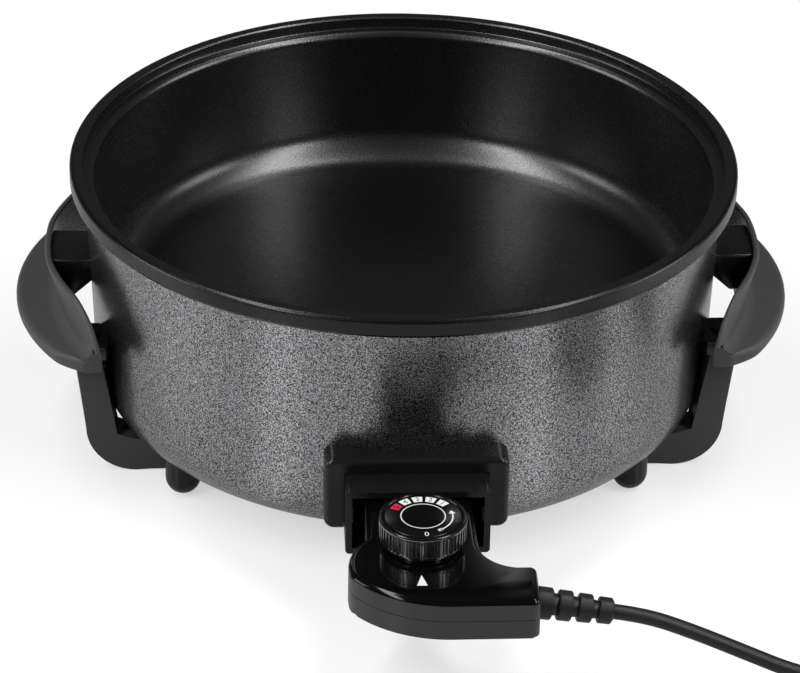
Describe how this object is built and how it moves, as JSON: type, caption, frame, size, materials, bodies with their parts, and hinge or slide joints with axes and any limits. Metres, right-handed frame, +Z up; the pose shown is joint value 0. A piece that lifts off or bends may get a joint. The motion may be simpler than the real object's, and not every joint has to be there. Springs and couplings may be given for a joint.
{
  "type": "electric skillet",
  "caption": "Round electric skillet with a deep black non-stick pan in a hammered grey shell, black side handles with legs, and a plug-in thermostat controller with its mains lead",
  "frame": {"origin": "under the middle of the whole object's box without the lead, on the surface it stands on", "axes": "+Z up, -Y towards the controller, +X to the right seen from the controller"},
  "size_m": [0.489, 0.425, 0.142],
  "materials": {
    "nonstick_coating": "satin",
    "hammered_paint": "satin",
    "zinc_steel": "satin",
    "cast_aluminium": "satin",
    "aluminised_steel": "satin",
    "element_steel": "matte",
    "nickel_pin": "polished",
    "brass_sleeve": "satin",
    "spring_brass": "satin",
    "black_phenolic": "satin",
    "black_case": "gloss",
    "white_ceramic": "matte",
    "black_rubber": "matte",
    "black_tie": "matte",
    "chromed_knob": "polished",
    "dial_print": "gloss"
  },
  "bodies": {
    "base": {"inner_pan": "nonstick_coating", "outer_shell": "hammered_paint", "base_plate": "zinc_steel", "base_screws": "zinc_steel", "pan_studs": "cast_aluminium", "heat_plate": "cast_aluminium", "heat_shield": "aluminised_steel", "heating_element": "element_steel", "element_clips": "zinc_steel", "terminal_pin_left": "nickel_pin", "terminal_pin_right": "nickel_pin", "probe_sleeve": "brass_sleeve", "probe_saddle": "cast_aluminium", "socket_collar": "black_phenolic", "earth_springs": "spring_brass", "socket_guard": "black_phenolic", "socket_screws": "zinc_steel", "handle_left": "black_phenolic", "handle_right": "black_phenolic", "leg_left": "black_phenolic", "leg_right": "black_phenolic", "handle_screws": "zinc_steel", "leg_screws": "zinc_steel", "foot_front_left": "black_phenolic", "foot_front_right": "black_phenolic", "foot_rear_left": "black_phenolic", "foot_rear_right": "black_phenolic"},
    "controller": {"controller_upper_case": "black_case", "controller_lower_case": "black_case", "case_screws": "zinc_steel", "contact_sleeve_left": "spring_brass", "contact_sleeve_right": "spring_brass", "probe_tube": "nickel_pin", "thermostat_frame": "zinc_steel", "ceramic_post": "white_ceramic", "contact_blade": "spring_brass", "bimetal_blade": "nickel_pin", "contact_rivets": "brass_sleeve", "blade_spacer": "white_ceramic", "shaft_bush": "brass_sleeve", "cord_clamp": "black_case", "strain_relief": "black_rubber", "cord_run": "black_rubber", "cord_coil": "black_rubber", "cord_tail": "black_rubber", "coil_tie": "black_tie", "plug_body": "black_rubber", "plug_pins": "nickel_pin"},
    "knob": {"knob": "chromed_knob", "dial_disc": "dial_print", "knob_shaft": "zinc_steel"}
  },
  "joints": [
    {"name": "controller_slide", "type": "slide", "parent": "base", "child": "controller", "axis": [0, -1, 0], "range_m": [0, 0.1]},
    {"name": "knob_turn", "type": "hinge", "parent": "controller", "child": "knob", "pos_m": [0, -0.165, 0.0637], "axis": [0, 0, 1], "range_deg": [-240, 0]}
  ]
}
